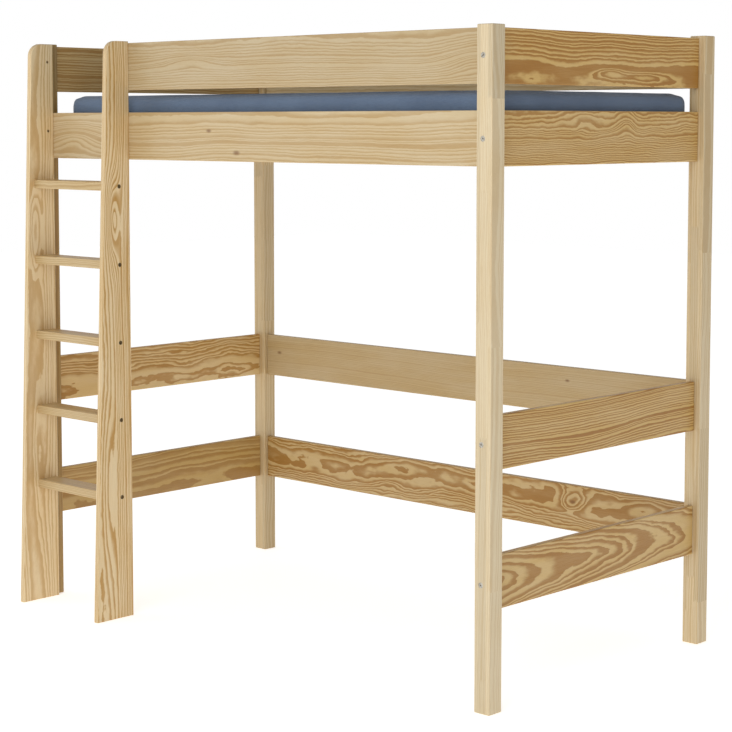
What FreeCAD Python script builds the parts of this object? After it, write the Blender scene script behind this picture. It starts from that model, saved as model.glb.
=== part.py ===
import FreeCAD, Part
import math
import os

# Loft bed in solid pine: four corner posts, horizontal boards at four heights, an upright ladder
# let into the front-left corner, a slatted deck and a loose mattress.
#
# Frame: millimetres, +Z up, +X along the bed towards the end without the ladder, +Y towards the
# wall side. The origin is on the floor, at the middle of the whole footprint, ladder included.

VECTOR = FreeCAD.Vector
X_AXIS = VECTOR(1, 0, 0)
Y_AXIS = VECTOR(0, 1, 0)
Z_AXIS = VECTOR(0, 0, 1)

# ---- overall sizes
BED_LENGTH = 1912.0
BED_DEPTH = 1012.0
LADDER_REACH = 112.0            # how far the ladder's feet stand out in front of the posts
POST_HEIGHT = 1797.0
POST = 52.0                     # square section of three of the posts
LADDER_POST_WIDTH = 33.0        # the front-left post is a flat one: its stringer makes up the width
LADDER_POST_DEPTH = 64.0
POST_ROUND = 3.0

# ---- boards
BOARD_WIDTH = 145.0
BOARD_THICK = 21.0
BOARD_ROUND = 2.5
BOARD_BOTTOMS = {"guard": 1645.0, "side": 1432.0, "desk": 640.0, "low": 270.0}
FRONT_SETBACK = 31.0            # outer face of the front boards behind the posts' front faces
REAR_SETBACK = 17.0
RIGHT_SETBACK = 20.0
LEFT_SETBACK = 8.0

# ---- ladder
STRINGER_THICK = 19.0
STRINGER_HEIGHT = 1795.0
STRINGER_TOP_WIDTH = 84.0
STRINGER_TOP_ROUND = 40.0
STRINGER_ROUND = 2.0
TREAD_LENGTH = 360.0
TREAD_DEPTH = 75.0
TREAD_THICK = 27.0
TREAD_ROUND = 3.0
TREAD_COUNT = 5
TREAD_FIRST_MIDDLE = 382.0
TREAD_RISE = 242.0
TREAD_BACK_GAP = 4.0            # treads stop this far in front of the stringers' back edges

# ---- deck and mattress
LEDGER = 28.0
SLAT_COUNT = 14
SLAT_WIDTH = 70.0
SLAT_THICK = 18.0
SLAT_TOP = 1501.0
SLAT_END_GAP = 3.0
DECK_END_GAP = 3.0
MATTRESS_LENGTH = 1785.0
MATTRESS_WIDTH = 900.0
MATTRESS_THICK = 129.7
MATTRESS_LIFT = 0.3             # air under the mattress, so that it rests without touching
MATTRESS_RIGHT_GAP = 5.0
MATTRESS_FRONT_GAP = 11.0
MATTRESS_CORNER = 45.0
MATTRESS_EDGE = 20.0

# ---- fasteners
CLEARANCE = 0.15                # radial play of every fastener in its hole
BOLT_RADIUS = 4.0
BOLT_HEAD_RADIUS = 7.5
BOLT_HEAD_THICK = 3.5
BOLT_SOCKET_WIDTH = 5.0
BOLT_SOCKET_DEPTH = 2.6
HEAD_SINK = 0.4                 # bolt heads lie this far under the wood's surface
NUT_RADIUS = 5.0
NUT_LENGTH = 15.0
NUT_SETBACK = 30.0              # barrel nut's middle from the end of its board or tread
BOLT_PAST_NUT = 8.0
DOWEL_RADIUS = 4.0
DOWEL_IN_POST = 15.0
DOWEL_IN_BOARD = 25.0
DOWEL_OFFSET = 50.0             # dowels above and below the middle of a board
CAM_RADIUS = 7.5
CAM_DEPTH = 12.5
CAM_SETBACK = 30.0
CAM_OFFSET = 30.0               # cams above and below the middle of a board
CAM_BOLT_RADIUS = 3.0
CAM_BOLT_IN_POST = 22.0
CAM_SLOT = 2.0
TREAD_BOLT_RADIUS = 3.0
TREAD_HEAD_RADIUS = 6.5
TREAD_HEAD_THICK = 3.0
TREAD_SOCKET_WIDTH = 4.0
TREAD_SOCKET_DEPTH = 2.2
TREAD_NUT_LENGTH = 16.0
TREAD_DOWEL_OFFSET = 22.0
TREAD_DOWEL_IN_STRINGER = 10.0
TREAD_DOWEL_IN_TREAD = 20.0
POST_SCREW_HEIGHTS = (1519.0, 1739.0)
POST_SCREW_LENGTH = 40.0
POST_SCREW_RADIUS = 2.5
POST_SCREW_HEAD = 4.6
POST_SCREW_SINK = 4.0
POST_SCREW_FROM_FRONT = 10.0
EDGE_SCREW_LENGTH = 55.0
EDGE_SCREW_OFFSET = 56.0
EDGE_SCREW_RADIUS = 2.5
EDGE_SCREW_HEAD = 4.6
DECK_SCREW_RADIUS = 2.0
DECK_SCREW_HEAD = 3.8
LEDGER_SCREW_LENGTH = 44.0
SLAT_SCREW_LENGTH = 36.0
LEDGER_SCREW_EVERY = 2          # one ledger screw in every second gap between slats

# ---- places worked out from the sizes
LEFT = -BED_LENGTH / 2
RIGHT = BED_LENGTH / 2
FRONT = LADDER_REACH - (BED_DEPTH + LADDER_REACH) / 2
BACK = FRONT + BED_DEPTH
BOARD_PLANE = FRONT + FRONT_SETBACK                     # the ladder's back edges meet it
FRONT_INSIDE = BOARD_PLANE + BOARD_THICK
REAR_INSIDE = BACK - REAR_SETBACK - BOARD_THICK
RIGHT_INSIDE = RIGHT - RIGHT_SETBACK - BOARD_THICK
LADDER_POST_FACE = LEFT + LADDER_POST_WIDTH
LEFT_TREAD_END = LADDER_POST_FACE + STRINGER_THICK
RIGHT_TREAD_END = LEFT_TREAD_END + TREAD_LENGTH
TREAD_BACK = BOARD_PLANE - TREAD_BACK_GAP
TREAD_MIDDLE = TREAD_BACK - TREAD_DEPTH / 2
LEDGER_TOP = SLAT_TOP - SLAT_THICK
DECK_LEFT = LEFT + POST + DECK_END_GAP
DECK_RIGHT = RIGHT - POST - DECK_END_GAP


# ---- small builders

def block(low, high):
    """A box from its lowest corner to its highest."""
    size = high.sub(low)
    return Part.makeBox(size.x, size.y, size.z, low)


def rounded_block(low, high, radius):
    """A box with all of its edges rounded."""
    shape = block(low, high)
    return shape.makeFillet(radius, shape.Edges)


def rod(start, direction, length, radius):
    return Part.makeCylinder(radius, length, start, direction)


def hex_socket(start, direction, width, depth):
    """A hexagonal pocket that goes from start along direction."""
    turn = FreeCAD.Rotation(Z_AXIS, direction)
    reach = width / math.sqrt(3)
    corners = [VECTOR(reach * math.cos(math.radians(60 * step)), reach * math.sin(math.radians(60 * step)), 0)
               for step in range(7)]
    ring = Part.makePolygon([start + turn.multVec(corner) for corner in corners])
    return Part.Face(ring).extrude(direction * depth)


def socket_bolt(start, direction, length, radius, head_radius, head_thick, socket_width, socket_depth):
    """A flat-headed bolt whose head starts just under the surface at start."""
    top = start + direction * HEAD_SINK
    head = rod(top, direction, head_thick, head_radius)
    shank = rod(top, direction, length - HEAD_SINK, radius)
    socket = hex_socket(top, direction, socket_width, socket_depth)
    return head.fuse(shank).cut(socket)


def bolt_hole(start, direction, length, radius, head_radius, head_thick):
    """The stepped hole that a flat-headed bolt lies in."""
    seat = rod(start, direction, head_thick + HEAD_SINK, head_radius + CLEARANCE)
    return seat.fuse(rod(start, direction, length + 1, radius + CLEARANCE))


def screw(start, direction, length, radius, head_radius, sink):
    """A countersunk wood screw, its head's face sunk below the surface at start."""
    top = start + direction * sink
    taper = head_radius - radius
    head = Part.makeCone(head_radius, radius, taper, top, direction)
    shank = rod(top, direction, length - radius * 2, radius)
    point = Part.makeCone(radius, radius * 0.2, radius * 2, top + direction * (length - radius * 2), direction)
    slot = hex_socket(top, direction, radius * 1.4, taper * 0.8)
    return head.fuse(shank).fuse(point).cut(slot)


def screw_hole(start, direction, length, radius, head_radius, sink):
    top = start + direction * sink
    taper = head_radius - radius
    hole = rod(start, direction, sink + length + 0.5, radius + CLEARANCE)
    hole = hole.fuse(Part.makeCone(head_radius + CLEARANCE, radius + CLEARANCE, taper, top, direction))
    if sink > 0:
        hole = hole.fuse(rod(start, direction, sink, head_radius + CLEARANCE))
    return hole


def cam_disc(start, direction, slot_direction):
    """A cam that lies in a board's face at start, with a screwdriver slot and a way in for its bolt."""
    disc = rod(start, direction, CAM_DEPTH, CAM_RADIUS)
    across = direction.cross(slot_direction)
    corner = start - across * (CAM_SLOT / 2) - slot_direction * (CAM_RADIUS * 0.8)
    slot = Part.Face(Part.makePolygon([corner, corner + across * CAM_SLOT,
                                       corner + across * CAM_SLOT + slot_direction * (CAM_RADIUS * 1.6),
                                       corner + slot_direction * (CAM_RADIUS * 1.6), corner]))
    return disc.cut(slot.extrude(direction * CAM_SLOT))


# ---- the registers that joints add to: what each node is made of, and the holes cut in it

solids = {}
holes = {}
groups = {}


def add(node, shape):
    solids[node] = shape
    holes[node] = []


def add_hole(node, shape):
    holes[node].append(shape)


def add_fastener(group, shape):
    groups.setdefault(group, []).append(shape)


# ---- posts

def make_posts():
    square = VECTOR(POST, POST, POST_HEIGHT)
    corners = {"front_right_post": VECTOR(RIGHT - POST, FRONT, 0),
               "rear_right_post": VECTOR(RIGHT - POST, BACK - POST, 0),
               "rear_left_post": VECTOR(LEFT, BACK - POST, 0)}
    for node, low in corners.items():
        add(node, rounded_block(low, low + square, POST_ROUND))
    low = VECTOR(LEFT, FRONT, 0)
    flat = VECTOR(LADDER_POST_WIDTH, LADDER_POST_DEPTH, POST_HEIGHT)
    add("front_left_post", rounded_block(low, low + flat, POST_ROUND))


# ---- boards

def board(node, low, high):
    add(node, rounded_block(low, high, BOARD_ROUND))


def long_board(node, bottom, outer_y, left_x):
    """A board along X that ends at the right-hand posts."""
    board(node, VECTOR(left_x, outer_y, bottom),
          VECTOR(RIGHT - POST, outer_y + BOARD_THICK, bottom + BOARD_WIDTH))


def end_board(node, bottom, outer_x, front_y):
    """A board along Y that ends at the rear posts."""
    board(node, VECTOR(outer_x, front_y, bottom),
          VECTOR(outer_x + BOARD_THICK, BACK - POST, bottom + BOARD_WIDTH))


def end_joint(board_node, post_node, board_x, joint_y, towards_post, post_depth, nut_face):
    """A bolt through the post into a barrel nut in the board, with a dowel above and below it.

    towards_post is the Y direction from the board's end into the post, and nut_face the X direction
    of the board's face that the barrel nut is put in from.
    """
    middle = solids[board_node].BoundBox.Center
    inward = VECTOR(0, -towards_post, 0)
    head = VECTOR(board_x, joint_y + towards_post * post_depth, middle.z)
    length = post_depth + NUT_SETBACK + BOLT_PAST_NUT
    bolt = (BOLT_RADIUS, BOLT_HEAD_RADIUS, BOLT_HEAD_THICK)
    add_fastener("rail_bolts", socket_bolt(head, inward, length, *bolt, BOLT_SOCKET_WIDTH, BOLT_SOCKET_DEPTH))
    hole = bolt_hole(head, inward, length, *bolt)
    add_hole(post_node, hole)
    add_hole(board_node, hole)

    nut_middle = VECTOR(board_x, joint_y - towards_post * NUT_SETBACK, middle.z)
    nut_start = nut_middle - X_AXIS * (NUT_LENGTH / 2)
    nut = rod(nut_start, X_AXIS, NUT_LENGTH, NUT_RADIUS)
    add_fastener("barrel_nuts", nut.cut(rod(nut_middle - Y_AXIS * NUT_RADIUS * 2, Y_AXIS, NUT_RADIUS * 4,
                                            BOLT_RADIUS + CLEARANCE)))
    mouth = nut_middle + X_AXIS * (nut_face * BOARD_THICK)
    add_hole(board_node, rod(mouth, X_AXIS * -nut_face, BOARD_THICK + NUT_LENGTH / 2 + CLEARANCE,
                             NUT_RADIUS + CLEARANCE))

    for side in (-1, 1):
        start = VECTOR(board_x, joint_y + towards_post * DOWEL_IN_POST, middle.z + side * DOWEL_OFFSET)
        reach = DOWEL_IN_POST + DOWEL_IN_BOARD
        add_fastener("rail_dowels", rod(start, inward, reach, DOWEL_RADIUS))
        dowel_hole = rod(start - inward, inward, reach + 2, DOWEL_RADIUS + CLEARANCE)
        add_hole(post_node, dowel_hole)
        add_hole(board_node, dowel_hole)


def cam_joint(board_node, post_node, joint_x, towards_post, outer_y):
    """Two cams in the board's wall-side face, each pulling on a bolt that is screwed into the post."""
    middle = solids[board_node].BoundBox.Center
    inward = VECTOR(-towards_post, 0, 0)
    for side in (-1, 1):
        height = middle.z + side * CAM_OFFSET
        start = VECTOR(joint_x + towards_post * CAM_BOLT_IN_POST, middle.y, height)
        reach = CAM_BOLT_IN_POST + CAM_SETBACK
        bolt = rod(start, inward, reach, CAM_BOLT_RADIUS)
        add_fastener("cam_bolts", bolt)
        hole = rod(start - inward, inward, reach + 2, CAM_BOLT_RADIUS + CLEARANCE)
        add_hole(post_node, hole)
        add_hole(board_node, hole)

        face = VECTOR(joint_x - towards_post * CAM_SETBACK, outer_y + BOARD_THICK, height)
        disc = cam_disc(face - Y_AXIS * HEAD_SINK, Y_AXIS * -1, Z_AXIS)
        add_fastener("cam_discs", disc.cut(hole))
        add_hole(board_node, rod(face, Y_AXIS * -1, CAM_DEPTH + HEAD_SINK + CLEARANCE, CAM_RADIUS + CLEARANCE))


def make_end_boards():
    """Four boards at each end of the bed, bolted between the front and rear posts."""
    left_x = LEFT + LEFT_SETBACK
    right_x = RIGHT - RIGHT_SETBACK - BOARD_THICK
    ends = (("left", left_x, LADDER_POST_DEPTH, -1), ("right", right_x, POST, -1))
    for side, outer_x, front_depth, nut_face in ends:
        for level, bottom in BOARD_BOTTOMS.items():
            node = side + "_" + level + "_rail"
            end_board(node, bottom, outer_x, FRONT + front_depth)
            board_x = outer_x + BOARD_THICK / 2
            end_joint(node, "front_" + side + "_post", board_x, FRONT + front_depth, -1, front_depth, nut_face)
            end_joint(node, "rear_" + side + "_post", board_x, BACK - POST, 1, POST, nut_face)


def make_rear_boards():
    outer_y = REAR_INSIDE
    for level, bottom in BOARD_BOTTOMS.items():
        node = "rear_" + level + "_rail"
        long_board(node, bottom, outer_y, LEFT + POST)
        cam_joint(node, "rear_left_post", LEFT + POST, -1, outer_y)
        cam_joint(node, "rear_right_post", RIGHT - POST, 1, outer_y)


def make_front_boards():
    """The side board runs the whole length, and the guard board leaves the way in at the ladder open."""
    long_board("front_side_rail", BOARD_BOTTOMS["side"], BOARD_PLANE, LADDER_POST_FACE)
    cam_joint("front_side_rail", "front_left_post", LADDER_POST_FACE, -1, BOARD_PLANE)
    cam_joint("front_side_rail", "front_right_post", RIGHT - POST, 1, BOARD_PLANE)
    long_board("front_guard_rail", BOARD_BOTTOMS["guard"], BOARD_PLANE, RIGHT_TREAD_END)
    cam_joint("front_guard_rail", "front_right_post", RIGHT - POST, 1, BOARD_PLANE)


# ---- ladder

def stringer(left_x):
    """A plank on edge: upright at the back, leaning forward to a broad foot, its top corner rounded."""
    front_top = BOARD_PLANE - STRINGER_TOP_WIDTH
    front_foot = FRONT - LADDER_REACH
    corners = [VECTOR(left_x, BOARD_PLANE, 0), VECTOR(left_x, BOARD_PLANE, STRINGER_HEIGHT),
               VECTOR(left_x, front_top, STRINGER_HEIGHT), VECTOR(left_x, front_foot, 0),
               VECTOR(left_x, BOARD_PLANE, 0)]
    plank = Part.Face(Part.makePolygon(corners)).extrude(X_AXIS * STRINGER_THICK)
    top_corner = [edge for edge in plank.Edges
                  if abs(edge.CenterOfMass.y - front_top) < 0.1 and abs(edge.CenterOfMass.z - STRINGER_HEIGHT) < 0.1]
    plank = plank.makeFillet(STRINGER_TOP_ROUND, top_corner)
    sides = [edge for edge in plank.Edges if edge.BoundBox.XLength < 0.01]
    return plank.makeFillet(STRINGER_ROUND, sides)


def tread_joint(tread_node, stringer_node, joint_x, towards_stringer, height):
    """A bolt through the stringer into a barrel nut in the tread, with a dowel before and behind it."""
    inward = VECTOR(-towards_stringer, 0, 0)
    head = VECTOR(joint_x + towards_stringer * STRINGER_THICK, TREAD_MIDDLE, height)
    length = STRINGER_THICK + NUT_SETBACK + BOLT_PAST_NUT
    bolt = (TREAD_BOLT_RADIUS, TREAD_HEAD_RADIUS, TREAD_HEAD_THICK)
    add_fastener("tread_bolts", socket_bolt(head, inward, length, *bolt, TREAD_SOCKET_WIDTH, TREAD_SOCKET_DEPTH))
    hole = bolt_hole(head, inward, length, *bolt)
    add_hole(stringer_node, hole)
    add_hole(tread_node, hole)

    nut_middle = VECTOR(joint_x - towards_stringer * NUT_SETBACK, TREAD_MIDDLE, height)
    nut = rod(nut_middle - Z_AXIS * (TREAD_NUT_LENGTH / 2), Z_AXIS, TREAD_NUT_LENGTH, NUT_RADIUS)
    add_fastener("tread_barrel_nuts", nut.cut(rod(nut_middle - X_AXIS * NUT_RADIUS * 2, X_AXIS, NUT_RADIUS * 4,
                                                  TREAD_BOLT_RADIUS + CLEARANCE)))
    add_hole(tread_node, rod(nut_middle - Z_AXIS * TREAD_THICK, Z_AXIS,
                             TREAD_THICK + TREAD_NUT_LENGTH / 2 + CLEARANCE, NUT_RADIUS + CLEARANCE))

    for side in (-1, 1):
        start = VECTOR(joint_x + towards_stringer * TREAD_DOWEL_IN_STRINGER,
                       TREAD_MIDDLE + side * TREAD_DOWEL_OFFSET, height)
        reach = TREAD_DOWEL_IN_STRINGER + TREAD_DOWEL_IN_TREAD
        add_fastener("tread_dowels", rod(start, inward, reach, DOWEL_RADIUS))
        dowel_hole = rod(start - inward, inward, reach + 2, DOWEL_RADIUS + CLEARANCE)
        add_hole(stringer_node, dowel_hole)
        add_hole(tread_node, dowel_hole)


def make_ladder():
    add("left_stringer", stringer(LADDER_POST_FACE))
    add("right_stringer", stringer(RIGHT_TREAD_END))
    for index in range(TREAD_COUNT):
        node = "tread_%d" % (index + 1)
        height = TREAD_FIRST_MIDDLE + index * TREAD_RISE
        low = VECTOR(LEFT_TREAD_END, TREAD_BACK - TREAD_DEPTH, height - TREAD_THICK / 2)
        high = VECTOR(RIGHT_TREAD_END, TREAD_BACK, height + TREAD_THICK / 2)
        tread = block(low, high)
        long_edges = [edge for edge in tread.Edges if edge.BoundBox.XLength > 1]
        add(node, tread.makeFillet(TREAD_ROUND, long_edges))
        tread_joint(node, "left_stringer", LEFT_TREAD_END, -1, height)
        tread_joint(node, "right_stringer", RIGHT_TREAD_END, 1, height)


def make_ladder_screws():
    """Two screws hold the left stringer to its post, and four hold the right one to the front boards."""
    post_screw = (POST_SCREW_LENGTH, POST_SCREW_RADIUS, POST_SCREW_HEAD, POST_SCREW_SINK)
    for height in POST_SCREW_HEIGHTS:
        start = VECTOR(LEFT_TREAD_END, FRONT + POST_SCREW_FROM_FRONT, height)
        add_fastener("stringer_screws", screw(start, X_AXIS * -1, *post_screw))
        hole = screw_hole(start, X_AXIS * -1, *post_screw)
        add_hole("left_stringer", hole)
        add_hole("front_left_post", hole)

    edge_screw = (EDGE_SCREW_LENGTH, EDGE_SCREW_RADIUS, EDGE_SCREW_HEAD, HEAD_SINK)
    for node in ("front_side_rail", "front_guard_rail"):
        for side in (-1, 1):
            height = solids[node].BoundBox.Center.z + side * EDGE_SCREW_OFFSET
            start = VECTOR(RIGHT_TREAD_END + STRINGER_THICK / 2, FRONT_INSIDE, height)
            add_fastener("stringer_screws", screw(start, Y_AXIS * -1, *edge_screw))
            hole = screw_hole(start, Y_AXIS * -1, *edge_screw)
            add_hole(node, hole)
            add_hole("right_stringer", hole)


# ---- deck

def make_deck():
    """Two ledgers on the side boards carry the slats, which are screwed down at both ends."""
    pitch = (DECK_RIGHT - DECK_LEFT - SLAT_WIDTH) / (SLAT_COUNT - 1)
    ledgers = (("front_ledger", "front_side_rail", FRONT_INSIDE, -1),
               ("rear_ledger", "rear_side_rail", REAR_INSIDE - LEDGER, 1))
    ledger_screw = (LEDGER_SCREW_LENGTH, DECK_SCREW_RADIUS, DECK_SCREW_HEAD, HEAD_SINK)
    slat_screw = (SLAT_SCREW_LENGTH, DECK_SCREW_RADIUS, DECK_SCREW_HEAD, HEAD_SINK)
    for node, rail, front_y, outward in ledgers:
        add(node, block(VECTOR(DECK_LEFT, front_y, LEDGER_TOP - LEDGER),
                        VECTOR(DECK_RIGHT, front_y + LEDGER, LEDGER_TOP)))
        inner_y = front_y + LEDGER / 2 - outward * LEDGER / 2
        for gap in range(0, SLAT_COUNT - 1, LEDGER_SCREW_EVERY):
            x = DECK_LEFT + SLAT_WIDTH / 2 + (gap + 0.5) * pitch
            start = VECTOR(x, inner_y, LEDGER_TOP - LEDGER / 2)
            add_fastener("ledger_screws", screw(start, Y_AXIS * outward, *ledger_screw))
            hole = screw_hole(start, Y_AXIS * outward, *ledger_screw)
            add_hole(node, hole)
            add_hole(rail, hole)

    for index in range(SLAT_COUNT):
        node = "slat_%02d" % (index + 1)
        left_x = DECK_LEFT + index * pitch
        add(node, block(VECTOR(left_x, FRONT_INSIDE + SLAT_END_GAP, LEDGER_TOP),
                        VECTOR(left_x + SLAT_WIDTH, REAR_INSIDE - SLAT_END_GAP, SLAT_TOP)))
        for ledger_node, _rail, front_y, _outward in ledgers:
            start = VECTOR(left_x + SLAT_WIDTH / 2, front_y + LEDGER / 2, SLAT_TOP)
            add_fastener("slat_screws", screw(start, Z_AXIS * -1, *slat_screw))
            hole = screw_hole(start, Z_AXIS * -1, *slat_screw)
            add_hole(node, hole)
            add_hole(ledger_node, hole)


def make_mattress():
    low = VECTOR(RIGHT_INSIDE - MATTRESS_RIGHT_GAP - MATTRESS_LENGTH, FRONT_INSIDE + MATTRESS_FRONT_GAP,
                 SLAT_TOP + MATTRESS_LIFT)
    size = VECTOR(MATTRESS_LENGTH, MATTRESS_WIDTH, MATTRESS_THICK)
    pad = block(low, low + size)
    pad = pad.makeFillet(MATTRESS_CORNER, [edge for edge in pad.Edges if edge.BoundBox.ZLength > 1])
    rims = [edge for edge in pad.Edges if edge.BoundBox.ZLength < 0.01]
    add("mattress", pad.makeFillet(MATTRESS_EDGE, rims))


# ---- output

def write_parts():
    """Cut each node's holes, and write one file for each node and each group of like fasteners."""
    os.makedirs("parts", exist_ok=True)
    for node, shape in solids.items():
        if holes[node]:
            shape = shape.cut(holes[node])
        shape.exportStep("parts/" + node + ".step")
    for group, shapes in groups.items():
        Part.makeCompound(shapes).exportStep("parts/" + group + ".step")


make_posts()
make_end_boards()
make_rear_boards()
make_front_boards()
make_ladder()
make_ladder_screws()
make_deck()
make_mattress()
write_parts()
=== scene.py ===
import math

import bpy
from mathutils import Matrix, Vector, noise
from mathutils.bvhtree import BVHTree


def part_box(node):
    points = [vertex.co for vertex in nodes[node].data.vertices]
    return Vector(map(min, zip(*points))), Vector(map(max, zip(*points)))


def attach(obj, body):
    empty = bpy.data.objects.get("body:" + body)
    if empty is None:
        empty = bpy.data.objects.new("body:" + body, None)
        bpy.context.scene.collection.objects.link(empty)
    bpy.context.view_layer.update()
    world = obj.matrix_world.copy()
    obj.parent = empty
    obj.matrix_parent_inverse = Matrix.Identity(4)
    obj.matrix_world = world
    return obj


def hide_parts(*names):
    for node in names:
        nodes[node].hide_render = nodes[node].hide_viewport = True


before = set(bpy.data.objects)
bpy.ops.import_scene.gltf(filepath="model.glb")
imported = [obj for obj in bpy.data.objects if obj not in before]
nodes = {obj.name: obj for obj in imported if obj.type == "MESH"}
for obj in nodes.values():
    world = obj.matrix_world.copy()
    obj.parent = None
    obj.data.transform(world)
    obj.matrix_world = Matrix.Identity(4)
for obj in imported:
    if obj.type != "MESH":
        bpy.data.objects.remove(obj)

scene = bpy.context.scene
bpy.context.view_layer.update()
MM = 0.001


# ---- camera, light and floor -------------------------------------------------------------

CAMERA_PLACE = Vector((4.1167, -4.2418, 1.5435))
CAMERA_YAW = math.radians(43.54)
CAMERA_PITCH = math.radians(-4.59)
CAMERA_LENS = 94.83
CAMERA_SHIFT_Y = -0.12

ROOM_LIGHT = 0.5          # strength of the room's light, and how it falls towards +X
ROOM_FALL = -0.1
FLOOR_GLOW = 0.57         # lifts the pale floor to the white of the backdrop
FLOOR_SIZE = 30
FLOOR_DROP = 0.0005       # the floor lies this far under the feet
WHITE = (1, 1, 1, 1)


def make_camera():
    data = bpy.data.cameras.new("camera")
    data.sensor_width = 36
    data.lens = CAMERA_LENS
    data.shift_y = CAMERA_SHIFT_Y
    data.clip_start = 0.05
    data.clip_end = 60
    camera = bpy.data.objects.new("camera", data)
    camera.location = CAMERA_PLACE
    camera.rotation_euler = (math.pi / 2 + CAMERA_PITCH, 0, CAMERA_YAW)
    scene.collection.objects.link(camera)
    scene.camera = camera


def softbox(name, place, target, size, power, colour):
    """A rectangular soft light that faces its target."""
    data = bpy.data.lights.new(name, "AREA")
    data.shape = "RECTANGLE"
    data.size, data.size_y = size
    data.energy = power
    data.color = colour
    light = bpy.data.objects.new(name, data)
    light.location = place
    aim = Vector(target) - Vector(place)
    light.rotation_euler = aim.to_track_quat("-Z", "Y").to_euler()
    scene.collection.objects.link(light)


def make_studio():
    world = bpy.data.worlds.new("studio")
    scene.world = world
    world.use_nodes = True
    tree = world.node_tree
    tree.nodes.clear()
    output = tree.nodes.new("ShaderNodeOutputWorld")
    glow = tree.nodes.new("ShaderNodeBackground")
    glow.inputs["Color"].default_value = WHITE
    # The room is a little darker to the right, so that the bed's faces differ.
    ray = tree.nodes.new("ShaderNodeSeparateXYZ")
    room = tree.nodes.new("ShaderNodeMath")
    room.operation = "MULTIPLY_ADD"
    room.inputs[1].default_value = ROOM_FALL
    room.inputs[2].default_value = ROOM_LIGHT
    direction = tree.nodes.new("ShaderNodeTexCoord").outputs["Generated"]
    tree.links.new(direction, ray.inputs[0])
    tree.links.new(ray.outputs["X"], room.inputs[0])
    tree.links.new(room.outputs[0], glow.inputs["Strength"])
    white = tree.nodes.new("ShaderNodeBackground")
    white.inputs["Color"].default_value = WHITE
    white.inputs["Strength"].default_value = 1.0
    path = tree.nodes.new("ShaderNodeLightPath")
    mix = tree.nodes.new("ShaderNodeMixShader")
    tree.links.new(path.outputs["Is Camera Ray"], mix.inputs["Fac"])
    tree.links.new(glow.outputs[0], mix.inputs[1])
    tree.links.new(white.outputs[0], mix.inputs[2])
    tree.links.new(mix.outputs[0], output.inputs["Surface"])
    scene.view_settings.view_transform = "Standard"

    softbox("key", place=(1.9, -4.8, 3.3), target=(0.1, -0.2, 0.9), size=(3.0, 2.4),
            power=74, colour=(1.0, 0.99, 0.97))
    softbox("fill", place=(-3.8, -2.6, 2.4), target=(-0.2, 0, 0.9), size=(2.4, 2.4),
            power=17, colour=(0.97, 0.985, 1.0))

    bpy.ops.mesh.primitive_plane_add(size=FLOOR_SIZE, location=(0, 0, -FLOOR_DROP))
    floor = bpy.context.object
    floor.name = "floor"
    material = bpy.data.materials.new("floor_pale")
    material.use_nodes = True
    shader = material.node_tree.nodes["Principled BSDF"]
    shader.inputs["Base Color"].default_value = (0.93, 0.93, 0.925, 1)
    shader.inputs["Roughness"].default_value = 0.7
    shader.inputs["Specular IOR Level"].default_value = 0.2
    shader.inputs["Emission Color"].default_value = WHITE
    shader.inputs["Emission Strength"].default_value = FLOOR_GLOW
    floor.data.materials.append(material)


# ---- a small language for shader nodes ---------------------------------------------------

def linear(red, green, blue):
    """A colour written with 0 to 255 sRGB values, as the shader's linear colour."""
    def channel(v):
        v = v / 255
        return v / 12.92 if v <= 0.04045 else ((v + 0.055) / 1.055) ** 2.4
    return (channel(red), channel(green), channel(blue), 1)


class Tree:
    """One material's nodes. Every value is a socket or a number."""

    def __init__(self, name):
        self.material = bpy.data.materials.new(name)
        self.material.use_nodes = True
        self.tree = self.material.node_tree
        self.shader = self.tree.nodes["Principled BSDF"]

    def add(self, kind, **settings):
        node = self.tree.nodes.new(kind)
        for key, value in settings.items():
            setattr(node, key, value)
        return node

    def put(self, value, socket):
        if isinstance(value, bpy.types.NodeSocket):
            self.tree.links.new(value, socket)
        else:
            socket.default_value = value

    def math(self, operation, a, b=0.0):
        node = self.add("ShaderNodeMath", operation=operation)
        self.put(a, node.inputs[0])
        self.put(b, node.inputs[1])
        return node.outputs[0]

    def sum(self, first, *others):
        for other in others:
            first = self.math("ADD", first, other)
        return first

    def times(self, a, b):
        return self.math("MULTIPLY", a, b)

    def object_point(self):
        return self.add("ShaderNodeTexCoord").outputs["Object"]

    def split(self, vector):
        node = self.add("ShaderNodeSeparateXYZ")
        self.put(vector, node.inputs[0])
        return node.outputs

    def join(self, x, y, z):
        node = self.add("ShaderNodeCombineXYZ")
        for value, socket in zip((x, y, z), node.inputs):
            self.put(value, socket)
        return node.outputs[0]

    def noise(self, vector, scale=1.0, detail=2.0, rough=0.5, dimensions="3D"):
        node = self.add("ShaderNodeTexNoise", noise_dimensions=dimensions)
        self.put(vector, node.inputs["Vector" if dimensions != "1D" else "W"])
        node.inputs["Scale"].default_value = scale
        node.inputs["Detail"].default_value = detail
        node.inputs["Roughness"].default_value = rough
        return node.outputs["Fac"]

    def random(self, vector):
        node = self.add("ShaderNodeTexWhiteNoise", noise_dimensions="3D")
        self.put(vector, node.inputs["Vector"])
        return self.split(node.outputs["Color"])

    def between(self, value, low, high, to_low=0.0, to_high=1.0):
        """The value, mapped smoothly from low..high onto to_low..to_high and held outside."""
        node = self.add("ShaderNodeMapRange", interpolation_type="SMOOTHSTEP")
        for number, socket in zip((value, low, high, to_low, to_high), node.inputs):
            self.put(number, socket)
        return node.outputs[0]

    def mix(self, amount, a, b, blend="MIX"):
        node = self.add("ShaderNodeMix", data_type="RGBA", blend_type=blend)
        self.put(amount, node.inputs[0])
        self.put(a, node.inputs[6])
        self.put(b, node.inputs[7])
        return node.outputs[2]

    def bump(self, height, distance):
        node = self.add("ShaderNodeBump")
        node.inputs["Distance"].default_value = distance
        self.put(height, node.inputs["Height"])
        self.tree.links.new(node.outputs[0], self.shader.inputs["Normal"])


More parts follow.
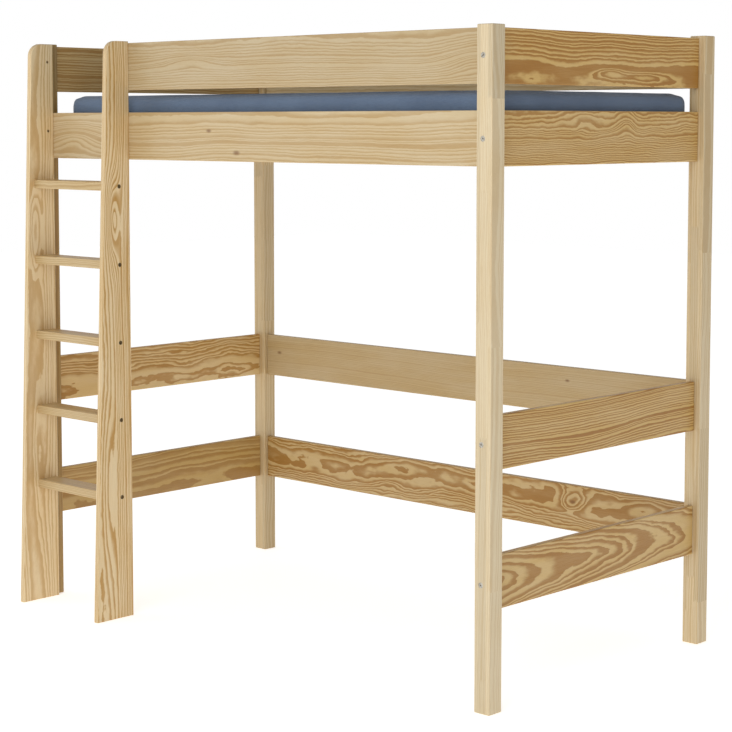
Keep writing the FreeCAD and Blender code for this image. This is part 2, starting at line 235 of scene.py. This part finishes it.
# ---- pine --------------------------------------------------------------------------------

CREAM = linear(226, 209, 175)
GOLD = linear(206, 171, 104)
HONEY = linear(188, 149, 84)
AMBER = linear(160, 110, 42)
KNOT = linear(126, 82, 46)

# How each board was cut from its log. Lengths are in mm, measured from the board's middle.
# tone    brightness of the whole board
# warm    how golden it is, from 0 to 1
# late    share of a growth ring that is dark late wood
# deep    how strongly the late wood shows
# ring    width of a growth ring
# pith    where the log's heart lies: across the board, and how deep behind its face
# tilt    how fast the heart comes nearer along the board, which draws nested arches
# wave    how far the rings wander, and over what length along and across the board
# eyes    (along, across, length, width, swell) where a branch pushed the rings outwards
# knots   (along, across, radius)
# phase   which part of a growth ring lies at the surface, from 0 to 1
# seed    picks another log
PLAIN = dict(tone=0.97, warm=0.4, late=0.35, deep=0.55, ring=6.0, pith=(-150, 90), tilt=0.0,
             wave=(5, 420, 120), eyes=(), knots=(), seed=0.0, phase=0.0)

CUTS = {
    "right_guard_rail": dict(
        tone=1.06, warm=0.95, late=0.7, deep=0.9, ring=5.5, pith=(-50, 120), seed=0.45, phase=0.5,
        wave=(4, 260, 90), eyes=((30, -38, 70, 16, -9), (180, -46, 110, 15, -8))),
    "right_side_rail": dict(
        tone=1.04, warm=0.85, late=0.5, deep=0.85, ring=4.2, pith=(90, 95), seed=3.2,
        wave=(5, 140, 90), eyes=((-60, 50, 60, 26, 9), (100, 30, 50, 44, 14))),
    "right_desk_rail": dict(
        tone=1.0, warm=0.92, late=0.5, deep=0.95, ring=6.0, pith=(-110, 70), seed=5.1,
        wave=(4, 330, 100), eyes=((-60, -40, 150, 30, 5),)),
    "right_low_rail": dict(
        tone=1.01, warm=0.85, late=0.55, deep=0.95, ring=7.0, pith=(-6, 90), tilt=0.07, seed=7.7,
        wave=(5, 240, 80)),
    "left_desk_rail": dict(
        tone=1.03, warm=0.7, late=0.6, deep=0.9, ring=6.0, pith=(-45, 120), seed=2.4,
        wave=(7, 190, 60), eyes=((-200, 20, 110, 36, 9),)),
    "left_low_rail": dict(
        tone=0.84, warm=0.95, late=0.65, deep=0.65, ring=8.0, pith=(-60, 140), seed=9.9,
        wave=(5, 260, 90)),
    "left_guard_rail": dict(
        tone=0.86, warm=0.8, late=0.6, deep=0.75, ring=8.0, pith=(-140, 60), seed=4.6),
    "left_side_rail": dict(
        tone=0.9, warm=0.6, late=0.4, deep=0.5, ring=6.0, pith=(-100, 80), seed=6.5),
    "rear_desk_rail": dict(
        tone=0.77, warm=0.52, late=0.35, deep=0.35, ring=5.0, pith=(-150, 60), seed=8.3,
        wave=(3, 600, 140), knots=((455, 30, 4.0), (-840, 12, 5.0))),
    "rear_low_rail": dict(
        tone=0.86, warm=0.75, late=0.55, deep=0.95, ring=6.0, pith=(20, 95), seed=1.3,
        wave=(8, 150, 70), eyes=((480, 20, 60, 34, 24), (230, -30, 110, 30, 10)),
        knots=((480, 20, 5.0),)),
    "rear_side_rail": dict(
        tone=0.9, warm=0.5, late=0.4, deep=0.5, pith=(70, 80), seed=12.1),
    "rear_guard_rail": dict(
        tone=0.88, warm=0.5, late=0.4, deep=0.5, pith=(-90, 80), seed=13.3),
    "front_side_rail": dict(
        tone=0.88, warm=0.32, late=0.38, deep=0.5, ring=8.0, pith=(90, 85), seed=10.6,
        wave=(6, 380, 110), eyes=((-800, -10, 130, 44, 34), (150, -40, 220, 30, 6)),
        knots=((-148, 17, 5.0), (-28, -47, 6.5))),
    "front_guard_rail": dict(
        tone=0.785, warm=0.32, late=0.35, deep=0.5, ring=5.5, pith=(90, 100), seed=11.2,
        wave=(5, 420, 120), eyes=((-420, 10, 110, 22, 16), (690, -12, 90, 46, 16))),
    "right_stringer": dict(
        tone=1.09, warm=0.3, late=0.4, deep=0.9, ring=6.0, pith=(-50, 60), seed=14.8,
        wave=(4, 420, 90), eyes=((358, 3, 130, 26, 36), (-480, -20, 240, 24, 18))),
    "left_stringer": dict(
        tone=1.12, warm=0.28, late=0.35, deep=0.6, ring=6.0, pith=(-18, 80), seed=15.5,
        wave=(4, 420, 90), eyes=((300, -8, 130, 22, 20), (-380, -6, 220, 24, 14))),
    "front_right_post": dict(tone=0.92, warm=0.02, late=0.3, deep=0.28, seed=2.0),
    "rear_right_post": dict(tone=0.94, warm=0.2, late=0.35, deep=0.4, seed=5.0),
    "rear_left_post": dict(tone=0.87, warm=0.35, late=0.35, deep=0.4, seed=8.0),
    # Painted shade: this post's tone is lowered and made warmer so that the strip of it seen
    # behind the left stringer looks as dark as in the ladder's shade.
    "front_left_post": dict(tone=0.68, warm=0.9, late=0.4, deep=0.5, seed=11.0),
}
for step in range(1, 6):
    CUTS["tread_%d" % step] = dict(tone=0.9, warm=0.55, late=0.35, deep=0.5, ring=5.0,
                                   pith=(25 * step - 60, 60), wave=(3, 300, 90),
                                   seed=20.3 + 1.7 * step)

# The posts are glued up from lamellas: (lamella width, length between finger joints) in mm.
POST_BLOCKS = {"front_right_post": (26, 640), "rear_right_post": (26, 520),
               "rear_left_post": (26, 560), "front_left_post": (32, 700)}


def late_wood(w, along, across, through, cut):
    """How much dark late wood shows, from 0 to 1, at a place in the log given in mm."""
    size, length, width = cut["wave"]
    wander = w.noise(w.join(w.times(along, 1 / length), w.times(across, 1 / width),
                            cut["seed"] * 3.7), detail=3.0, rough=0.45)
    drift = w.noise(w.join(w.times(along, 1 / 700), cut["seed"] * 1.9, 0.5), detail=1.0)
    side = w.sum(across, -cut["pith"][0], w.times(w.math("SUBTRACT", drift, 0.5), 46))
    deep = w.sum(through, cut["pith"][1], w.times(along, cut["tilt"]))
    radius = w.math("SQRT", w.sum(w.times(side, side), w.times(deep, deep)))
    fray = w.noise(w.join(w.times(along, 1 / 34), w.times(across, 1 / 15), cut["seed"]))
    radius = w.sum(radius, w.times(w.math("SUBTRACT", wander, 0.5), 4 * size),
                   w.times(w.math("SUBTRACT", fray, 0.5), 3.0))
    for place, height, half_length, half_width, swell in cut["eyes"]:
        u = w.times(w.math("SUBTRACT", along, place), 1 / half_length)
        v = w.times(w.math("SUBTRACT", across, height), 1 / half_width)
        fall = w.math("EXPONENT", w.times(w.sum(w.times(u, u), w.times(v, v)), -1))
        radius = w.sum(radius, w.times(fall, swell))
    uneven = w.noise(w.times(radius, 1 / 17), detail=1.0, dimensions="1D")
    rings = w.sum(w.times(radius, 1 / cut["ring"]), w.times(uneven, 2.4),
                  cut["seed"] + cut["phase"])
    part = w.math("FRACT", rings)
    start = 1 - cut["late"]
    darkening = w.between(part, start * 0.5, start + cut["late"] * 0.45)
    return w.times(darkening, w.between(part, 0.93, 1.0, 1, 0))


def glued_up(w, along, across, tone, seed, blocks):
    """Each finger-jointed block comes from its own place in the log and has its own tone."""
    width, length = blocks
    teeth = w.times(w.math("PINGPONG", across, 2.0), 5.0)
    lamella = w.math("FLOOR", w.times(w.sum(across, 0.5 * width), 1 / width))
    shift = w.random(w.join(lamella, seed, 7.0))[0]
    piece = w.math("FLOOR", w.sum(w.times(w.sum(along, teeth), 1 / length), shift))
    draw = w.random(w.join(lamella, piece, seed + 0.5))
    return (w.sum(along, w.times(draw[1], 900)),
            w.sum(across, w.times(w.math("SUBTRACT", draw[0], 0.5), 160)),
            w.sum(w.times(draw[2], 0.16), tone - 0.08))


def pine(name, low, high, cut, blocks=None):
    """Clear-lacquered pine, drawn in the board's own directions."""
    cut = {**PLAIN, **cut}
    w = Tree("pine_" + name)
    size = high - low
    order = longest, wider, thinner = sorted(range(3), key=lambda i: -size[i])
    middle = (low + high) / 2
    half = size / 2
    point = w.split(w.object_point())
    along, across, through = (
        w.times(w.math("SUBTRACT", point[i], middle[i]), 1000) for i in order)
    tone = cut["tone"]
    if blocks:
        along, across, tone = glued_up(w, along, across, tone, cut["seed"], blocks)
    late = late_wood(w, along, across, through, cut)

    fibre = w.noise(w.join(w.times(along, 0.022), w.times(across, 1.1), w.times(through, 1.1)),
                    detail=3.0, rough=0.6)
    fine = w.noise(w.join(w.times(along, 0.1), w.times(across, 4.5), w.times(through, 4.5)))
    patch = w.noise(w.join(w.times(along, 0.004), w.times(across, 0.022), cut["seed"] + 11.0))

    golden = w.between(patch, 0.25, 0.75, cut["warm"] - 0.12, cut["warm"] + 0.12)
    pale = w.mix(golden, CREAM, GOLD)
    dark = w.mix(cut["warm"], HONEY, AMBER)
    shown = w.times(late, w.between(patch, 0.2, 0.8, 0.8 * cut["deep"], 1.1 * cut["deep"]))
    colour = w.mix(w.sum(shown, w.between(fibre, 0.35, 0.75, -0.04, 0.16)), pale, dark)
    for place, height, radius in cut["knots"]:
        u = w.times(w.math("SUBTRACT", along, place), 0.5 / radius)
        v = w.times(w.math("SUBTRACT", across, height), 1 / radius)
        spot = w.math("SQRT", w.sum(w.times(u, u), w.times(v, v)))
        colour = w.mix(w.between(spot, 0.25, 1.6, 0.7, 0.0), colour, KNOT)

    # End grain soaks up the lacquer and goes darker. Handled edges are duller from wear, and
    # paler partly from wear and partly as a painted highlight.
    normal = w.split(w.add("ShaderNodeTexCoord").outputs["Normal"])
    end = w.between(w.math("ABSOLUTE", normal[longest]), 0.6, 0.95)

    def nearness(axis):
        """1 at the board's face on this axis, falling to 0 a few millimetres inside it."""
        offset = w.math("ABSOLUTE", w.math("SUBTRACT", point[axis], middle[axis]))
        return w.between(w.math("SUBTRACT", half[axis], offset), 0.5 * MM, 4.5 * MM, 1, 0)

    edge = w.times(nearness(wider), nearness(thinner))
    # The edge term lifts the colour near the edges: partly wear, partly a painted highlight along
    # the rounded edges.
    shade = w.sum(w.between(fine, 0.3, 0.7, 0.965, 1.03), w.times(end, -0.2), w.times(edge, 0.07))
    shade = w.times(shade, tone)
    colour = w.mix(1.0, colour, w.join(shade, shade, shade), "MULTIPLY")
    w.put(colour, w.shader.inputs["Base Color"])

    rough = w.sum(w.between(fibre, 0.3, 0.7, 0.36, 0.46), w.times(late, -0.05),
                  w.times(edge, 0.12), w.times(end, 0.2))
    w.put(rough, w.shader.inputs["Roughness"])
    w.shader.inputs["Specular IOR Level"].default_value = 0.35
    w.shader.inputs["Coat Weight"].default_value = 0.08
    w.shader.inputs["Coat Roughness"].default_value = 0.3
    relief = w.sum(w.times(fine, 0.35), w.times(fibre, 0.4), w.times(late, 0.25))
    w.bump(relief, 0.4 * MM)
    return w.material


# ---- metal, beech ------------------------------------------------------------------------

def metal(name, colour, rough, tint):
    """Plated steel: faint turning marks, stains and rubbed, brighter spots."""
    w = Tree(name)
    point = w.object_point()
    stain = w.noise(point, scale=180.0, detail=4.0)
    grain = w.noise(point, scale=2600.0)
    w.put(w.mix(w.between(stain, 0.35, 0.7), colour, tint), w.shader.inputs["Base Color"])
    dulled = w.between(stain, 0.3, 0.7, rough, rough + 0.16)
    w.put(w.sum(dulled, w.times(grain, 0.08)), w.shader.inputs["Roughness"])
    w.shader.inputs["Metallic"].default_value = 0.9
    w.bump(w.sum(w.times(grain, 0.5), w.times(stain, 0.5)), 0.15 * MM)
    return w.material


def beech():
    """Dowels: reddish beech with short dark flecks along the grain."""
    w = Tree("beech_dowels")
    x, y, z = w.split(w.object_point())
    fleck = w.noise(w.join(w.times(x, 900), w.times(y, 900), w.times(z, 90)), detail=3.0)
    colour = w.mix(w.between(fleck, 0.45, 0.7), linear(214, 172, 128), linear(168, 118, 78))
    w.put(colour, w.shader.inputs["Base Color"])
    w.put(w.between(fleck, 0.3, 0.7, 0.5, 0.65), w.shader.inputs["Roughness"])
    w.bump(fleck, 0.2 * MM)
    return w.material


# ---- mattress ----------------------------------------------------------------------------

# The cover starts this much smaller than the mattress, and the filling swells it.
SIDE_INSET = 1 * MM
TOP_INSET = 6 * MM
VOXEL = 12 * MM
CLOTH_STEPS = 20
SWELL_CAP = 6 * MM
SLIDE_CAP = 1.5 * MM
PROUD = 1 * MM                 # how far the cover may stand out of the mattress's box
TOP_EDGE_RADIUS = 24 * MM
CORNER_EDGE_RADIUS = 38 * MM   # of the top edge where it turns the corner
PLAN_RADIUS = 45 * MM
HELD_BELOW = 6 * MM            # what lies lower than this rests on the slats
FLAT_BELOW = 8 * MM            # and has no creases
CREASE_DEPTH = 1.1             # in mm, as the two below
RIPPLE_DEPTH = 0.5
GROOVE_DEPTH = 2.4
GROOVE_WIDTH = 6 * MM
SEAM_HEIGHT = 0.5              # share of the mattress's thickness
WELT_RADIUS = 1.7 * MM
WELT_POINTS = 420
THREAD_RATE = 5200             # radians per metre, for threads about 1 mm apart


def fabric(name, base, light, dark):
    """Tightly woven cotton: crossed threads, thicker ones here and there, and a soft bloom."""
    w = Tree(name)
    point = w.object_point()
    x, y, z = w.split(point)
    threads = 0.0
    for axis, other in ((x, y), (y, z), (z, x)):
        warp = w.math("SINE", w.times(axis, THREAD_RATE))
        weft = w.math("SINE", w.times(other, THREAD_RATE))
        threads = w.sum(w.times(warp, weft), threads)
    weave = w.between(threads, -1.6, 1.6)
    slub = w.noise(w.join(w.times(x, 60), w.times(y, 60), w.times(z, 900)), detail=3.0)
    cloud = w.noise(point, scale=5.0, detail=3.0)
    colour = w.mix(w.between(cloud, 0.3, 0.7), base, light)
    colour = w.mix(w.between(slub, 0.4, 0.75, 0.0, 0.35), colour, dark)
    colour = w.mix(w.between(weave, 0.2, 0.8, 0.3, 0.0), colour, dark)
    w.put(colour, w.shader.inputs["Base Color"])
    w.put(w.between(slub, 0.3, 0.7, 0.82, 0.95), w.shader.inputs["Roughness"])
    w.shader.inputs["Specular IOR Level"].default_value = 0.2
    w.shader.inputs["Sheen Weight"].default_value = 0.25
    w.shader.inputs["Sheen Roughness"].default_value = 0.5
    w.bump(w.sum(w.times(weave, 0.6), w.times(slub, 0.6)), 0.5 * MM)
    return w.material


def evaluated_mesh(obj):
    graph = bpy.context.evaluated_depsgraph_get()
    return bpy.data.meshes.new_from_object(obj.evaluated_get(graph))


def modified(obj, kind, **settings):
    """Adds a modifier, applies it and leaves the object with the plain result."""
    modifier = obj.modifiers.new(kind.lower(), kind)
    for key, value in settings.items():
        setattr(modifier, key, value)
    mesh = evaluated_mesh(obj)
    obj.modifiers.clear()
    obj.data = mesh


def inflate(obj, held_below):
    """The cover is blown up by its filling, held flat where it rests on the slats."""
    held = obj.vertex_groups.new(name="held")
    held.add([v.index for v in obj.data.vertices if v.co.z < held_below], 1.0, "REPLACE")
    before = [(v.co.copy(), v.normal.copy()) for v in obj.data.vertices]
    cloth = obj.modifiers.new("cloth", "CLOTH")
    for key, value in dict(
            quality=5, mass=0.3, tension_stiffness=18, compression_stiffness=18,
            shear_stiffness=8, bending_stiffness=1.2, use_pressure=True,
            uniform_pressure_force=4, vertex_group_mass="held").items():
        setattr(cloth.settings, key, value)
    cloth.settings.effector_weights.gravity = 0
    cloth.point_cache.frame_start = 1
    cloth.point_cache.frame_end = CLOTH_STEPS
    for moment in range(1, CLOTH_STEPS + 1):
        scene.frame_set(moment)
    mesh = evaluated_mesh(obj)
    obj.modifiers.clear()
    obj.vertex_groups.clear()
    obj.data = mesh
    for vertex, (start, outward) in zip(mesh.vertices, before):
        # The foam inside keeps the cover from pulling in, and the cover hardly slides over it.
        move = vertex.co - start
        swell = move.dot(outward)
        slide = move - outward * swell
        if slide.length > SLIDE_CAP:
            slide *= SLIDE_CAP / slide.length
        vertex.co = start + outward * min(max(swell, 0.0), SWELL_CAP) + slide
    scene.frame_set(1)


def round_edge(place, low, high):
    """The place moved onto the rounded top edge, if it lies outside that."""
    middle, half = (low + high) / 2, (high - low) / 2
    over = [abs(place[i] - middle[i]) - (half[i] - PLAN_RADIUS) for i in (0, 1)]
    beyond = Vector((max(over[0], 0.0), max(over[1], 0.0)))
    depth = PLAN_RADIUS - beyond.length - min(max(over), 0.0)
    if beyond.length > 0:
        outward = beyond.normalized()
    else:
        outward = Vector((1, 0)) if over[0] > over[1] else Vector((0, 1))
    corner = 2 * outward.x * outward.y
    radius = TOP_EDGE_RADIUS + (CORNER_EDGE_RADIUS - TOP_EDGE_RADIUS) * corner
    side, top = radius - depth, radius - (high.z - place.z)
    reach = math.hypot(side, top)
    if side <= 0 or top <= 0 or reach <= radius:
        return place
    pull = 1 - radius / reach
    place = place.copy()
    place.z -= top * pull
    for i in (0, 1):
        place[i] -= math.copysign(outward[i] * side * pull, place[i] - middle[i])
    return place


def crease_at(place, flat):
    """Shallow slanting creases where the cover is pulled over the edge, in mm."""
    x, y, z = place
    crease = noise.noise(Vector((x * 5.0 + z * 9.0, y * 5.0, z * 10.0)))
    ripple = noise.noise(Vector((x * 17.0 - z * 22.0, y * 17.0, z * 15.0 + 4.0)))
    return (CREASE_DEPTH * crease + RIPPLE_DEPTH * ripple) * (1 - 0.5 * flat)


def make_mattress():
    low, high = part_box("mattress")
    middle = (low + high) / 2
    span = high - low
    piece = bpy.data.objects.new("mattress_pad", nodes["mattress"].data.copy())
    scene.collection.objects.link(piece)
    piece.data.materials.clear()
    for vertex in piece.data.vertices:
        place = vertex.co
        for i in (0, 1):
            place[i] = middle[i] + (place[i] - middle[i]) * (1 - 2 * SIDE_INSET / span[i])
        place.z = low.z + (place.z - low.z) * (1 - TOP_INSET / span.z)
    modified(piece, "REMESH", mode="VOXEL", voxel_size=VOXEL, use_smooth_shade=True)
    inflate(piece, low.z + HELD_BELOW)
    modified(piece, "SMOOTH", factor=0.4, iterations=1)
    modified(piece, "SUBSURF", levels=1, render_levels=1)

    seam_z = low.z + SEAM_HEIGHT * span.z
    normals = [Vector(vertex.normal) for vertex in piece.data.vertices]
    for vertex, normal in zip(piece.data.vertices, normals):
        place = vertex.co.copy()
        flat = abs(normal.z)
        amount = 0.0 if place.z < low.z + FLAT_BELOW else crease_at(place, flat)
        fall = math.exp(-((place.z - seam_z) / GROOVE_WIDTH) ** 2)
        groove = GROOVE_DEPTH * fall * (1 - flat)
        place += normal * ((amount - groove) * MM)
        for i in (0, 1):
            place[i] = min(max(place[i], low[i] - PROUD), high[i] + PROUD)
        place.z = min(max(place.z, low.z), high.z + PROUD)
        vertex.co = round_edge(place, low, high)
    piece.data.materials.append(fabric(
        "mattress_cotton", linear(103, 123, 151), linear(113, 134, 162), linear(74, 90, 114)))
    for polygon in piece.data.polygons:
        polygon.use_smooth = True
        polygon.material_index = 0

    welt = make_welt(piece, seam_z, WELT_RADIUS)
    welt.data.materials.append(fabric(
        "welt_cotton", linear(86, 102, 128), linear(96, 113, 138), linear(62, 74, 95)))
    for obj in (piece, welt):
        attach(obj, "mattress")
    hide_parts("mattress")


def outline_at(piece, height, count):
    """Points round the mattress's side at one height, found by looking inwards at its surface."""
    tree = BVHTree.FromObject(piece, bpy.context.evaluated_depsgraph_get())
    low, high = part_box("mattress")
    middle = (low + high) / 2
    half_x, half_y = (high.x - low.x) / 2, (high.y - low.y) / 2
    core = half_x - half_y
    bend = math.pi * half_y
    lap = 4 * core + 2 * bend
    points = []
    for i in range(count):
        s = lap * i / count
        if s < 2 * core:
            origin, facing = Vector((core - s, 0, 0)), Vector((0, 1, 0))
        elif s < 2 * core + bend:
            turn = (s - 2 * core) / half_y
            origin = Vector((-core, 0, 0))
            facing = Vector((-math.sin(turn), math.cos(turn), 0))
        elif s < 4 * core + bend:
            origin, facing = Vector((-core + s - 2 * core - bend, 0, 0)), Vector((0, -1, 0))
        else:
            turn = (s - 4 * core - bend) / half_y
            origin = Vector((core, 0, 0))
            facing = Vector((math.sin(turn), -math.cos(turn), 0))
        origin += Vector((middle.x, middle.y, height))
        hit = tree.ray_cast(origin + facing * 2, -facing)
        points.append((hit[0], facing))
    return points


def make_welt(piece, height, radius):
    """A narrow sewn welt lying in the seam groove round the mattress."""
    points = outline_at(piece, height, WELT_POINTS)
    curve = bpy.data.curves.new("mattress_seam", "CURVE")
    curve.dimensions = "3D"
    curve.bevel_depth = radius
    curve.bevel_resolution = 3
    spline = curve.splines.new("POLY")
    spline.points.add(len(points) - 1)
    for target, (place, facing) in zip(spline.points, points):
        target.co = (*(place - facing * 0.2 * radius), 1)
    spline.use_cyclic_u = True
    holder = bpy.data.objects.new("mattress_seam", curve)
    scene.collection.objects.link(holder)
    mesh = evaluated_mesh(holder)
    bpy.data.objects.remove(holder)
    for polygon in mesh.polygons:
        polygon.use_smooth = True
    welt = bpy.data.objects.new("mattress_seam", mesh)
    scene.collection.objects.link(welt)
    return welt


# ---- putting the materials on the CAD nodes ----------------------------------------------

def assign(obj, material):
    count = max(1, len(obj.data.materials))
    obj.data.materials.clear()
    for _ in range(count):
        obj.data.materials.append(material)


def dress_nodes():
    bright = metal("bolt_steel", linear(206, 202, 192), 0.4, linear(168, 162, 150))
    bronzed = metal("ladder_steel", linear(118, 100, 72), 0.36, linear(80, 66, 46))
    zinc = metal("cam_zinc", linear(178, 178, 174), 0.36, linear(150, 150, 148))
    dowel = beech()
    hardware = {
        "rail_bolts": bright, "cam_bolts": bright,
        "tread_bolts": bronzed, "stringer_screws": bronzed,
        "cam_discs": zinc, "ledger_screws": zinc, "slat_screws": zinc,
        "barrel_nuts": zinc, "tread_barrel_nuts": zinc,
        "rail_dowels": dowel, "tread_dowels": dowel,
    }
    for seed, (name, obj) in enumerate(sorted(nodes.items())):
        if name == "mattress":
            continue
        if name in hardware:
            assign(obj, hardware[name])
            continue
        low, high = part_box(name)
        # Boards that no cut is given for still differ in figure and brightness.
        tone = 0.93 + 0.03 * ((seed * 7) % 5 - 2)
        cut = {"seed": seed * 1.37, "tone": tone, **CUTS.get(name, {})}
        assign(obj, pine(name, low, high, cut, POST_BLOCKS.get(name)))


make_camera()
make_studio()
dress_nodes()
make_mattress()
